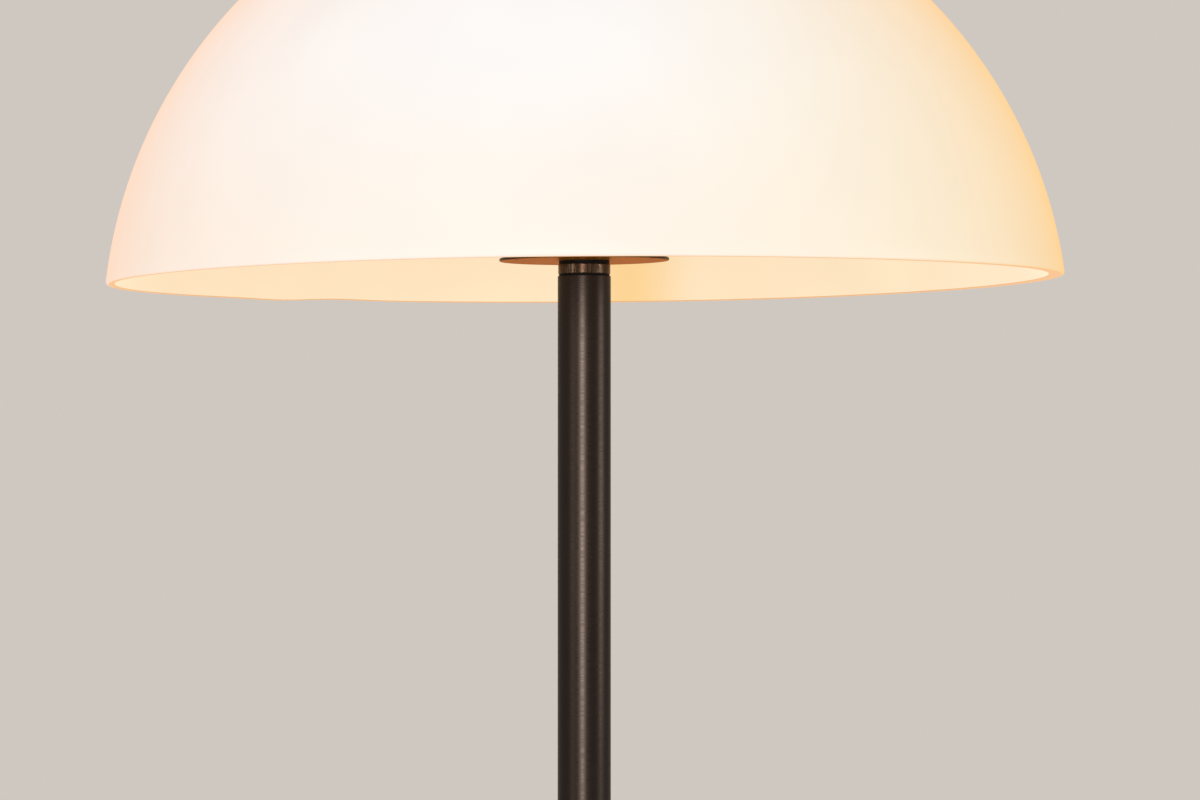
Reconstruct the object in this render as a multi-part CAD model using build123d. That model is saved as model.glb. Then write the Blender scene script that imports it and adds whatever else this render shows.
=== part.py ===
"""Mushroom floor lamp: an opal glass dome hung at its crown over a slim round stem and a weighted base.

Millimetres, +Z up. The origin is the centre of the base on the floor, +Y points to the back of the lamp,
where the flex comes in. Heights are worked out from the floor up, in the order in which the lamp is built.
"""

from build123d import *
import math
import os

# ---- Driving dimensions ------------------------------------------------------------------------------

# Clearances
screw_gap = 0.05         # radial gap of screwed and pressed fits
seat_gap = 0.3           # gap of loose shells over what they cover
hole_gap = 0.3           # radial gap of a plain hole over the thread or pin in it

# Base: cast weight, spun cover, bottom plate and feet
base_radius = 150.0
base_height = 26.5       # top of the cover at the stem, above the floor
base_crown = 3.5         # how far the cover falls from the stem to its edge
base_flat_radius = 18.0  # flat seat for the stem in the middle of the cover
base_edge_round = 8.0
cover_wall = 1.5
plate_wall = 1.5
foot_height = 3.0
foot_radius = 11.0
foot_circle = 122.0
foot_count = 4
plate_screw_count = 3
plate_screw_circle = 78.0
plate_screw_radius = 2.0
plate_screw_length = 9.0
plate_screw_head_radius = 3.6
plate_screw_head_height = 1.8
weight_web = 5.0         # iron left above the wiring pocket
pocket_radius = 56.0
channel_width = 13.0     # way for the flex from the inlet to the pocket
channel_height = 13.0

# Cord inlet bush in the cover's back wall
inlet_bore_radius = 3.8
inlet_barrel_radius = 5.6
inlet_flange_radius = 8.5
inlet_flange_wall = 1.6
inlet_barrel_length = 9.0
inlet_height = 11.0

# Hollow lamp thread that clamps the base, and the one that carries the head
thread_radius = 5.0
thread_bore_radius = 3.5
thread_grip = 16.0       # length of thread screwed into each end of the stem
clamp_washer_radius = 13.0
clamp_washer_wall = 1.5
locknut_across_flats = 17.0
locknut_height = 3.5
thread_end = 0.5         # thread that stands past its nut

# Stem
stem_radius = 12.5
stem_wall = 1.5
stem_length = 1170.0
stem_end_chamfer = 0.25
plug_length = 18.0

# Wiring
core_radius = 1.1
core_spacing = 4.0       # between the two cores inside the hollow threads
block_width = 26.0
block_depth = 16.0
block_body_height = 8.5
block_tower_height = 4.0
block_tower_radius = 3.3
block_corner_round = 1.5
block_front = 34.0       # distance of the terminal block from the stem's axis
pole_pitch = 8.0
pole_height = 5.0        # height of the wire holes above the bottom plate
pole_bore_radius = 1.75
clamp_bore_radius = 1.3
clamp_inset = 1.0        # how far the clamps lie inside the faces of the block
tag_ring_radius = 8.5
tag_wall = 0.8
tag_tongue_width = 5.0
tag_barrel_radius = 1.9
tag_barrel_start = 10.0
tag_barrel_length = 6.0

# Rings between the stem and the disc
spacer_radius = 11.95
spacer_height = 0.8
collar_radius = 12.3
collar_height = 4.65
collar_chamfer = 0.3
gasket_radius = 11.9
gasket_height = 1.6

# Disc that closes the mouth of the dome round the stem and carries the rods
disc_radius = 40.0
disc_wall = 1.5
disc_edge_round = 0.6

# Glass dome
mouth_radius = 225.0
dome_centre_drop = 26.88 # how far the centre of the dome's curve lies below the rim
glass_wall = 5.0
rim_round = 1.2
crown_flat_radius = 23.0
crown_hole_radius = 6.5

# Shade carrier: rods, hub and stud
rod_count = 3
rod_radius = 1.75
rod_circle = 36.5
rod_bend_radius = 20.0
rod_tenon_radius = 1.25
rod_in_hub = 4.0
bulb_headroom = 32.0     # free height between the top of the bulb and the hub
hub_radius = 13.0
hub_height = 10.0
hub_chamfer = 1.0
stud_chamfer = 0.8
stud_grip = 10.0         # length of stud inside the cap nut
seat_plate_radius = 20.0
seat_plate_wall = 2.0
shade_gasket_radius = 19.0
shade_gasket_wall = 2.0
cap_washer_radius = 20.0
cap_washer_wall = 1.5
cap_nut_radius = 11.0
cap_nut_height = 18.0
cap_nut_dome = 5.0
cap_nut_round = 1.2
cap_nut_bore_depth = 12.0

# Lampholder
holder_radius = 19.5
holder_boss_radius = 13.0
holder_boss_height = 2.0
holder_flare_height = 12.0
holder_split = 21.0      # height at which the cap meets the shell
holder_height = 54.0
holder_wall = 2.3
holder_floor = 6.0
holder_mouth_taper = 1.5
holder_mouth_taper_height = 4.0
insert_low = 15.0
insert_height = 10.0
insert_step = 3.0        # ledge in the cap that the insert rests on
socket_radius = 13.7
socket_wall = 0.4
socket_height = 26.0
socket_flange_bore = 9.0
socket_flange_wall = 0.5
contact_wall = 0.6
contact_width = 5.0
contact_height = 3.0
contact_bend_radius = 1.15
contact_reach = 4.5
terminal_offset = 7.0
terminal_width = 6.0
terminal_depth = 7.0
terminal_height = 4.5
terminal_recess = 2.0    # how far the terminals lie inside the insert's underside
terminal_hole_radius = 1.4
terminal_cover = 1.0     # brass left over each terminal's hole

# Bulb
bulb_radius = 30.0
bulb_length = 108.0
bulb_tip_radius = 4.5
bulb_tip_height = 1.5
bulb_insulator_radius = 11.5
bulb_insulator_height = 2.7
bulb_cap_radius = 13.15
bulb_neck_radius = 14.6
bulb_neck_slope = 1.2
bulb_neck_height = 6.0
bulb_globe_wall = 1.2
bulb_globe_drop = 13.3   # how far below its centre the globe meets the housing
led_board_radius = 21.0
led_board_wall = 1.6
led_count = 12
led_circle = 15.0
led_side = 3.0
led_height = 0.7

# ---- Levels that follow, from the floor up ----------------------------------------------------------

plate_top = foot_height + plate_wall
weight_top = base_height - cover_wall - seat_gap
pocket_top = weight_top - weight_web
washer_low = pocket_top - clamp_washer_wall
tag_low = washer_low - tag_wall
tag_barrel_middle = washer_low - tag_barrel_radius
locknut_low = tag_low - locknut_height
base_thread_low = locknut_low - thread_end
stem_top = base_height + stem_length
spacer_top = stem_top + spacer_height
collar_top = spacer_top + collar_height
disc_low = collar_top + gasket_height
disc_top = disc_low + disc_wall
head_thread_top = disc_top + holder_floor + thread_end
insert_top = disc_top + insert_low + insert_height
bulb_low = insert_top + contact_height + seat_gap
bulb_cap_low = bulb_low + bulb_tip_height + bulb_insulator_height
bulb_top = bulb_low + bulb_length
housing_low = disc_top + holder_height + seat_gap
globe_centre = bulb_top - bulb_radius
globe_low = globe_centre - bulb_globe_drop
hub_low = bulb_top + bulb_headroom
seat_plate_low = hub_low + hub_height
crown_low = seat_plate_low + seat_plate_wall + shade_gasket_wall
crown_top = crown_low + glass_wall
dome_curve_radius = math.hypot(mouth_radius, dome_centre_drop)
dome_centre = crown_top - math.sqrt(dome_curve_radius**2 - crown_flat_radius**2)
rim_low = dome_centre + dome_centre_drop
cap_washer_low = crown_top + shade_gasket_wall
cap_nut_low = cap_washer_low + cap_washer_wall
stud_top = cap_nut_low + stud_grip

STANDING = (Align.CENTER, Align.CENTER, Align.MIN)
thread_hole_radius = thread_radius + hole_gap
tapped_hole_radius = thread_radius + screw_gap


# ---- Shapes that several pieces use -----------------------------------------------------------------

def round_bar(radius, low, high):
    """An upright bar about the lamp's axis."""
    return Pos(0, 0, low) * Cylinder(radius, high - low, align=STANDING)


def ring(outer_radius, inner_radius, low, high):
    """A washer or tube about the lamp's axis."""
    return round_bar(outer_radius, low, high) - round_bar(inner_radius, low, high)


def lying_bar(radius, x, start, end, height):
    """A bar along Y, from start to end."""
    upright = Cylinder(radius, end - start, align=STANDING)
    return Pos(x, start, height) * Rot(-90, 0, 0) * upright


def turned(*edges):
    """A solid turned about the lamp's axis from an outline drawn as radius and height."""
    outline = Plane.XZ * make_face(Curve() + list(edges))
    return revolve(outline, Axis.Z)


def edges_at(solid, height):
    """The round edges of a solid that lie level at one height."""
    rounds = solid.edges().filter_by(GeomType.CIRCLE)
    return [edge for edge in rounds if abs(edge.bounding_box().min.Z - height) < 0.001
            and abs(edge.bounding_box().max.Z - height) < 0.001]


def crowned_block(radius, low, high, edge_round):
    """A round block with a flat middle, a top that falls gently to its edge, and a rounded edge."""
    shoulder = high - base_crown
    block = turned(
        Line((0, low), (radius, low)),
        Line((radius, low), (radius, shoulder)),
        TangentArc((base_flat_radius, high), (radius, shoulder), tangent=(1, 0)),
        Line((base_flat_radius, high), (0, high)),
        Line((0, high), (0, low)),
    )
    return fillet(edges_at(block, shoulder), edge_round)


def on_circle(count, radius, start_angle):
    """Places spread evenly on a circle about the lamp's axis."""
    return [Rot(0, 0, start_angle + 360 * step / count) * Pos(radius, 0, 0) for step in range(count)]


def wire(route, radii):
    """One insulated core along straight runs joined by tangent arcs."""
    path = FilletPolyline(*route, radius=radii)
    section = Plane(origin=path @ 0, z_dir=path % 0) * Circle(core_radius)
    return sweep(section, path)


def arc_radii(route):
    """The radius of each corner of a route, as large as its two runs allow."""
    points = [Vector(*point) for point in route]
    radii = []
    for before, corner, after in zip(points, points[1:], points[2:]):
        turn = math.radians((corner - before).get_angle(after - corner))
        shorter = min((corner - before).length, (after - corner).length)
        radii.append(0.45 * shorter / math.tan(turn / 2))
    return radii


# ---- Base -------------------------------------------------------------------------------------------

def rubber_feet():
    """Four round feet stuck under the bottom plate."""
    foot = Cylinder(foot_radius, foot_height, align=STANDING)
    foot = fillet(edges_at(foot, 0), foot_height / 4)
    return [place * foot for place in on_circle(foot_count, foot_circle, 45)]


def base_plate():
    """Sheet steel plate that closes the base from below."""
    plate = round_bar(base_radius - cover_wall - seat_gap, foot_height, plate_top)
    for place in on_circle(plate_screw_count, plate_screw_circle, 30):
        plate -= place * round_bar(plate_screw_radius + hole_gap, foot_height, plate_top)
    return plate


def base_plate_screws():
    """Pan-head screws that hold the plate to the weight."""
    head = round_bar(plate_screw_head_radius, foot_height - plate_screw_head_height, foot_height)
    head = fillet(edges_at(head, foot_height - plate_screw_head_height), plate_screw_head_height / 2)
    screw = head + round_bar(plate_screw_radius, foot_height, foot_height + plate_screw_length)
    return [place * screw for place in on_circle(plate_screw_count, plate_screw_circle, 30)]


def base_weight():
    """Cast iron weight with a wiring pocket below and a channel to the back."""
    radius = base_radius - cover_wall - seat_gap
    weight = crowned_block(radius, plate_top, weight_top, base_edge_round - cover_wall - seat_gap)
    weight -= round_bar(pocket_radius, plate_top, pocket_top)
    channel = Box(channel_width, radius, channel_height, align=(Align.CENTER, Align.MIN, Align.MIN))
    weight -= Pos(0, 0, plate_top) * channel
    weight -= round_bar(thread_hole_radius, pocket_top, weight_top)
    screw_hole_top = foot_height + plate_screw_length + thread_end
    for place in on_circle(plate_screw_count, plate_screw_circle, 30):
        weight -= place * round_bar(plate_screw_radius + screw_gap, plate_top, screw_hole_top)
    return weight


def base_cover():
    """Spun steel cover with the stem's hole in the middle and the inlet in its back wall."""
    outer = crowned_block(base_radius, foot_height, base_height, base_edge_round)
    inner = crowned_block(
        base_radius - cover_wall, foot_height, base_height - cover_wall, base_edge_round - cover_wall
    )
    cover = outer - inner - round_bar(thread_hole_radius, base_height - cover_wall, base_height)
    return cover - lying_bar(inlet_barrel_radius + screw_gap, 0, pocket_radius, base_radius, inlet_height)


def cord_inlet_bush():
    """Moulded bush that guards the flex where it enters the cover."""
    back = base_radius + screw_gap
    flange = lying_bar(inlet_flange_radius, 0, back, back + inlet_flange_wall, inlet_height)
    flange = fillet(flange.edges().sort_by(Axis.Y)[-1], inlet_flange_wall / 2)
    barrel = lying_bar(inlet_barrel_radius, 0, back - inlet_barrel_length, back, inlet_height)
    bore = lying_bar(inlet_bore_radius, 0, back - inlet_barrel_length, back + inlet_flange_wall, inlet_height)
    return flange + barrel - bore


def base_thread():
    """Hollow thread that clamps stem, cover and weight together."""
    return ring(thread_radius, thread_bore_radius, base_thread_low, base_height + thread_grip)


def base_washer():
    """Steel washer under the weight's web."""
    return ring(clamp_washer_radius, thread_hole_radius, washer_low, pocket_top)


def base_locknut():
    """Hexagon nut that pulls the stem down on the base."""
    hexagon = RegularPolygon(locknut_across_flats / 2, 6, major_radius=False)
    nut = Pos(0, 0, locknut_low) * extrude(hexagon, locknut_height)
    return nut - round_bar(tapped_hole_radius, locknut_low, tag_low)


def earth_tag():
    """Ring terminal clamped between washer and nut, with a crimp barrel towards the block."""
    blade = Box(tag_tongue_width, tag_barrel_start, tag_wall, align=(Align.CENTER, Align.MIN, Align.MIN))
    tag = round_bar(tag_ring_radius, tag_low, washer_low) + Pos(0, 0, tag_low) * blade
    tag -= round_bar(thread_hole_radius, tag_low, washer_low)
    barrel_end = tag_barrel_start + tag_barrel_length
    return tag + lying_bar(tag_barrel_radius, 0, tag_barrel_start - tag_wall, barrel_end, tag_barrel_middle)


def pole_places():
    """The terminal block's poles along X."""
    return [-pole_pitch, 0, pole_pitch]


def terminal_block():
    """Three-pole terminal strip that stands on the bottom plate."""
    middle = block_front + block_depth / 2
    body = Box(block_width, block_depth, block_body_height, align=STANDING)
    block = Pos(0, middle, plate_top) * fillet(body.edges().filter_by(Axis.Z), block_corner_round)
    tower_top = plate_top + block_body_height + block_tower_height
    for x in pole_places():
        for y in (middle - block_depth / 4, middle + block_depth / 4):
            block += Pos(x, y, 0) * round_bar(block_tower_radius, plate_top, tower_top)
            block -= Pos(x, y, 0) * round_bar(pole_bore_radius, plate_top + pole_height, tower_top)
    for x in pole_places():
        block -= lying_bar(pole_bore_radius, x, block_front, block_front + block_depth, plate_top + pole_height)
    return block


def terminal_clamps():
    """Brass clamp tubes inside the terminal strip."""
    start = block_front + clamp_inset
    end = block_front + block_depth - clamp_inset
    height = plate_top + pole_height
    tube = lying_bar(pole_bore_radius - screw_gap, 0, start, end, height)
    tube -= lying_bar(clamp_bore_radius, 0, start, end, height)
    return [Pos(x, 0, 0) * tube for x in pole_places()]


# ---- Stem and wiring --------------------------------------------------------------------------------

def stem_tube():
    """Round steel tube between base and head."""
    tube = ring(stem_radius, stem_radius - stem_wall, base_height, stem_top)
    outer_edge = [edge for edge in edges_at(tube, stem_top) if edge.radius > stem_radius - stem_wall / 2]
    return chamfer(outer_edge, stem_end_chamfer)


def stem_plug(low):
    """Tapped plug pressed into one end of the stem."""
    plug = ring(stem_radius - stem_wall - screw_gap, tapped_hole_radius, low, low + plug_length)
    return chamfer(edges_at(plug, low) + edges_at(plug, low + plug_length), stem_end_chamfer)


def lead(side):
    """One core from the terminal strip, up the stem, to the lampholder. Side is -1 or 1."""
    start_x = side * core_spacing / 2
    pole_x = side * pole_pitch
    pole_z = plate_top + pole_height
    low_z = plate_top + core_radius + seat_gap
    route = [
        (pole_x, block_front + 5, pole_z),
        (pole_x, block_front - 7, pole_z),
        (side * 5, block_front / 2, low_z),
        (start_x, 0, low_z),
        (start_x, 0, disc_top + holder_floor + 2.5),
        (side * terminal_offset, 0, disc_top + insert_low - 0.5),
        (side * terminal_offset, 0, disc_top + insert_low + 5),
    ]
    radii = arc_radii(route)
    print("lead", side, "radii", [round(radius, 1) for radius in radii])
    return wire(route, radii)


def earth_lead():
    """Short earth core from the terminal strip to the ring terminal."""
    pole_z = plate_top + pole_height
    barrel_end = tag_barrel_start + tag_barrel_length
    route = [
        (0, block_front + 5, pole_z),
        (0, block_front - 3, pole_z),
        (0, barrel_end + 7.5, tag_barrel_middle),
        (0, barrel_end, tag_barrel_middle),
    ]
    radii = arc_radii(route)
    print("earth lead radii", [round(radius, 1) for radius in radii])
    return wire(route, radii)


# ---- Head: rings, disc and shade carrier ------------------------------------------------------------

def head_thread():
    """Hollow thread that joins stem, rings, disc and lampholder."""
    return ring(thread_radius, thread_bore_radius, stem_top - thread_grip, head_thread_top)


def spacer_ring():
    """Thin black spacer that shows as a shadow line over the stem."""
    return ring(spacer_radius, thread_hole_radius, stem_top, spacer_top)


def collar():
    """Turned metal collar, locked on the thread over the stem."""
    body = ring(collar_radius, tapped_hole_radius, spacer_top, collar_top)
    outer = [edge for edge in edges_at(body, spacer_top) + edges_at(body, collar_top)
             if edge.radius > thread_hole_radius]
    return chamfer(outer, collar_chamfer)


def gasket_ring():
    """Fibre ring between collar and disc."""
    return ring(gasket_radius, thread_hole_radius, collar_top, disc_low)


def gallery_disc():
    """Thin steel disc that hides the lampholder from below and carries the three rods."""
    disc = round_bar(disc_radius, disc_low, disc_top)
    disc = fillet(edges_at(disc, disc_low) + edges_at(disc, disc_top), disc_edge_round)
    disc -= round_bar(thread_hole_radius, disc_low, disc_top)
    for place in on_circle(rod_count, rod_circle, 90):
        disc -= place * round_bar(rod_tenon_radius + screw_gap, disc_low, disc_top)
    return disc


def carrier_rod(number):
    """One steel rod, riveted in the disc and bent over into the hub."""
    turn_height = hub_low + hub_height / 2
    path = FilletPolyline(
        (rod_circle, 0, disc_top),
        (rod_circle, 0, turn_height),
        (hub_radius - rod_in_hub, 0, turn_height),
        radius=rod_bend_radius,
    )
    rod = sweep(Pos(rod_circle, 0, disc_top) * Circle(rod_radius), path)
    tenon = Pos(rod_circle, 0, 0) * round_bar(rod_tenon_radius, disc_low + disc_edge_round / 2, disc_top)
    return Rot(0, 0, 90 + 360 * number / rod_count) * (rod + tenon)


def carrier_hub():
    """Turned hub that joins the rods under the crown of the glass."""
    hub = ring(hub_radius, tapped_hole_radius, hub_low, hub_low + hub_height)
    rims = [edge for edge in edges_at(hub, hub_low) if edge.radius > thread_hole_radius]
    hub = chamfer(rims, hub_chamfer)
    socket = lying_bar(rod_radius + screw_gap, 0, hub_radius - rod_in_hub - screw_gap, hub_radius + 1,
                       hub_low + hub_height / 2)
    for number in range(rod_count):
        hub -= Rot(0, 0, 360 * number / rod_count) * socket
    return hub


def hub_stud():
    """Threaded stud that stands up through the crown of the glass."""
    return chamfer(edges_at(round_bar(thread_radius, hub_low, stud_top), stud_top), stud_chamfer)


def seat_plate():
    """Steel plate on the hub that spreads the weight of the glass."""
    return ring(seat_plate_radius, thread_hole_radius, seat_plate_low, seat_plate_low + seat_plate_wall)


def shade_gasket(low):
    """Silicone washer that keeps the glass off the metal."""
    return ring(shade_gasket_radius, thread_hole_radius, low, low + shade_gasket_wall)


# ---- Glass dome and cap nut -------------------------------------------------------------------------

def glass_shade():
    """Opal glass dome: a deep cap of a sphere with a ground rim and a flat, drilled crown."""
    inner_curve = dome_curve_radius - glass_wall
    inner_mouth = math.sqrt(inner_curve**2 - dome_centre_drop**2)
    inner_flat = crown_flat_radius - glass_wall / 2
    inner_edge = dome_centre + math.sqrt(inner_curve**2 - inner_flat**2)
    middle = math.radians(45)
    outer_middle = (dome_curve_radius * math.cos(middle), dome_centre + dome_curve_radius * math.sin(middle))
    inner_middle = (inner_curve * math.cos(middle), dome_centre + inner_curve * math.sin(middle))
    dome = turned(
        Line((crown_hole_radius, crown_low), (crown_hole_radius, crown_top)),
        Line((crown_hole_radius, crown_top), (crown_flat_radius, crown_top)),
        ThreePointArc((crown_flat_radius, crown_top), outer_middle, (mouth_radius, rim_low)),
        Line((mouth_radius, rim_low), (inner_mouth, rim_low)),
        ThreePointArc((inner_mouth, rim_low), inner_middle, (inner_flat, inner_edge)),
        Line((inner_flat, inner_edge), (inner_flat, crown_low)),
        Line((inner_flat, crown_low), (crown_hole_radius, crown_low)),
    )
    return fillet(edges_at(dome, rim_low), rim_round)


def cap_washer():
    """Steel washer under the cap nut."""
    washer = ring(cap_washer_radius, thread_hole_radius, cap_washer_low, cap_nut_low)
    top_rim = [edge for edge in edges_at(washer, cap_nut_low) if edge.radius > cap_nut_radius]
    return fillet(top_rim, cap_washer_wall / 2)


def cap_nut():
    """Domed nut that holds the glass down on the stud."""
    top = cap_nut_low + cap_nut_height
    shoulder = top - cap_nut_dome
    nut = turned(
        Line((0, cap_nut_low), (cap_nut_radius, cap_nut_low)),
        Line((cap_nut_radius, cap_nut_low), (cap_nut_radius, shoulder)),
        TangentArc((0, top), (cap_nut_radius, shoulder), tangent=(1, 0)),
        Line((0, top), (0, cap_nut_low)),
    )
    nut = fillet(edges_at(nut, shoulder), cap_nut_round)
    return nut - round_bar(tapped_hole_radius, cap_nut_low, cap_nut_low + cap_nut_bore_depth)


# ---- Lampholder -------------------------------------------------------------------------------------

def holder_cap():
    """Moulded lower half of the lampholder, screwed on the head thread."""
    inner = holder_radius - holder_wall
    ledge = inner - insert_step
    solid = turned(
        Line((tapped_hole_radius, 0), (holder_boss_radius, 0)),
        Line((holder_boss_radius, 0), (holder_boss_radius, holder_boss_height)),
        TangentArc((holder_radius, holder_flare_height), (holder_boss_radius, holder_boss_height),
                   tangent=(0, -1)),
        Line((holder_radius, holder_flare_height), (holder_radius, holder_split)),
        Line((holder_radius, holder_split), (inner, holder_split)),
        Line((inner, holder_split), (inner, insert_low)),
        Line((inner, insert_low), (ledge, insert_low)),
        Line((ledge, insert_low), (ledge, holder_floor)),
        Line((ledge, holder_floor), (tapped_hole_radius, holder_floor)),
        Line((tapped_hole_radius, holder_floor), (tapped_hole_radius, 0)),
    )
    return Pos(0, 0, disc_top) * solid


def holder_shell():
    """Moulded sleeve of the lampholder round the socket."""
    inner = holder_radius - holder_wall
    socket_clear = socket_radius + socket_wall + seat_gap
    top_radius = holder_radius - holder_mouth_taper
    shoulder = insert_low + insert_height
    solid = turned(
        Line((inner, holder_split), (holder_radius, holder_split)),
        Line((holder_radius, holder_split), (holder_radius, holder_height - holder_mouth_taper_height)),
        Line((holder_radius, holder_height - holder_mouth_taper_height), (top_radius, holder_height)),
        Line((top_radius, holder_height), (socket_clear, holder_height)),
        Line((socket_clear, holder_height), (socket_clear, shoulder)),
        Line((socket_clear, shoulder), (inner, shoulder)),
        Line((inner, shoulder), (inner, holder_split)),
    )
    return Pos(0, 0, disc_top) * solid


def terminal_places():
    """The two terminals of the lampholder along X."""
    return [-terminal_offset, terminal_offset]


def holder_insert():
    """Porcelain insert that carries the socket and the terminals."""
    low = disc_top + insert_low
    insert = round_bar(holder_radius - holder_wall - seat_gap, low, insert_top)
    depth = terminal_recess + terminal_height
    pocket = Box(terminal_width + 2 * screw_gap, terminal_depth + 2 * screw_gap, depth, align=STANDING)
    for x in terminal_places():
        insert -= Pos(x, 0, low) * pocket
    return insert


def holder_terminals():
    """Brass terminals in the underside of the insert."""
    low = disc_top + insert_low + terminal_recess
    block = Box(terminal_width, terminal_depth, terminal_height, align=STANDING)
    block -= Cylinder(terminal_hole_radius, terminal_height - terminal_cover, align=STANDING)
    return [Pos(x, 0, low) * block for x in terminal_places()]


def socket_shell():
    """Brass screw shell that takes the bulb's cap."""
    outer = socket_radius + socket_wall
    wall = ring(outer, socket_radius, insert_top, insert_top + socket_height)
    return wall + ring(outer, socket_flange_bore, insert_top, insert_top + socket_flange_wall)


def centre_contact():
    """Springy brass tongue that meets the tip of the bulb."""
    low = insert_top + contact_wall / 2
    high = insert_top + contact_height - contact_wall / 2
    centre_line = FilletPolyline(
        (-contact_reach, low), (contact_reach, low), (contact_reach, high), (-contact_reach, high),
        radius=contact_bend_radius,
    )
    strip = trace(centre_line, contact_wall)
    return extrude(Plane.XZ * strip, contact_width / 2, both=True)


# ---- Bulb -------------------------------------------------------------------------------------------

def bulb_tip():
    """Solder tip of the bulb's cap."""
    tip = round_bar(bulb_tip_radius, bulb_low, bulb_low + bulb_tip_height)
    return fillet(edges_at(tip, bulb_low), bulb_tip_height / 2)


def bulb_insulator():
    """Black glass cone between tip and screw cap."""
    low = bulb_low + bulb_tip_height
    return Pos(0, 0, low) * Cone(bulb_tip_radius, bulb_insulator_radius, bulb_insulator_height, align=STANDING)


def bulb_screw_cap():
    """Nickelled screw cap of the bulb."""
    cap = round_bar(bulb_cap_radius, bulb_cap_low, housing_low)
    return chamfer(edges_at(cap, bulb_cap_low), bulb_cap_radius - bulb_insulator_radius)


def bulb_housing():
    """White heat-spreading body of the LED bulb."""
    shoulder_radius = bulb_neck_radius + bulb_neck_slope
    shoulder = housing_low + bulb_neck_height
    top_radius = math.sqrt(bulb_radius**2 - bulb_globe_drop**2)
    return turned(
        Line((0, housing_low), (bulb_neck_radius, housing_low)),
        Line((bulb_neck_radius, housing_low), (shoulder_radius, shoulder)),
        TangentArc((shoulder_radius, shoulder), (top_radius, globe_low),
                   tangent=(bulb_neck_slope, bulb_neck_height)),
        Line((top_radius, globe_low), (0, globe_low)),
        Line((0, globe_low), (0, housing_low)),
    )


def led_board():
    """Aluminium board with its ring of LED chips, under the globe."""
    board_top = globe_low + led_board_wall
    board = round_bar(led_board_radius, globe_low, board_top)
    chip = Box(led_side, led_side, led_height, align=STANDING)
    for place in on_circle(led_count, led_circle, 0):
        board += place * Pos(0, 0, board_top) * chip
    return board


def bulb_globe():
    """Opal cap of the bulb."""
    low_cut = Box(3 * bulb_radius, 3 * bulb_radius, 2 * bulb_radius,
                  align=(Align.CENTER, Align.CENTER, Align.MAX))
    globe = Sphere(bulb_radius) - Sphere(bulb_radius - bulb_globe_wall)
    globe -= Pos(0, 0, -bulb_globe_drop) * low_cut
    return Pos(0, 0, globe_centre) * globe


# ---- All pieces by name -----------------------------------------------------------------------------

pieces = {
    "rubber_feet": rubber_feet(),
    "base_plate": base_plate(),
    "base_plate_screws": base_plate_screws(),
    "base_weight": base_weight(),
    "base_cover": base_cover(),
    "cord_inlet_bush": cord_inlet_bush(),
    "base_thread": base_thread(),
    "base_washer": base_washer(),
    "base_locknut": base_locknut(),
    "earth_tag": earth_tag(),
    "terminal_block": terminal_block(),
    "terminal_clamps": terminal_clamps(),
    "stem_tube": stem_tube(),
    "stem_foot_plug": stem_plug(base_height),
    "stem_head_plug": stem_plug(stem_top - plug_length),
    "live_lead": lead(-1),
    "neutral_lead": lead(1),
    "earth_lead": earth_lead(),
    "head_thread": head_thread(),
    "spacer_ring": spacer_ring(),
    "collar": collar(),
    "gasket_ring": gasket_ring(),
    "gallery_disc": gallery_disc(),
    "carrier_hub": carrier_hub(),
    "hub_stud": hub_stud(),
    "seat_plate": seat_plate(),
    "shade_gasket_lower": shade_gasket(crown_low - shade_gasket_wall),
    "glass_shade": glass_shade(),
    "shade_gasket_upper": shade_gasket(crown_top),
    "cap_washer": cap_washer(),
    "cap_nut": cap_nut(),
    "holder_cap": holder_cap(),
    "holder_shell": holder_shell(),
    "holder_insert": holder_insert(),
    "holder_terminals": holder_terminals(),
    "socket_shell": socket_shell(),
    "centre_contact": centre_contact(),
    "bulb_tip": bulb_tip(),
    "bulb_insulator": bulb_insulator(),
    "bulb_screw_cap": bulb_screw_cap(),
    "bulb_housing": bulb_housing(),
    "led_board": led_board(),
    "bulb_globe": bulb_globe(),
}
for number in range(rod_count):
    pieces[f"carrier_rod_{number + 1}"] = carrier_rod(number)

os.makedirs("parts", exist_ok=True)
for name, piece in pieces.items():
    solids = piece if isinstance(piece, list) else [piece]
    export_step(Compound(children=[solid for item in solids for solid in item.solids()]), f"parts/{name}.step")

print("rim", round(rim_low, 2), "crown", round(crown_top, 2), "top", round(cap_nut_low + cap_nut_height, 2))
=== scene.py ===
import math
from functools import partial

import bmesh
import bpy
from bpy.props import FloatProperty, FloatVectorProperty, PointerProperty
from bpy.types import Operator, Panel, PropertyGroup
from mathutils import Euler, Matrix, Vector, noise


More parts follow.
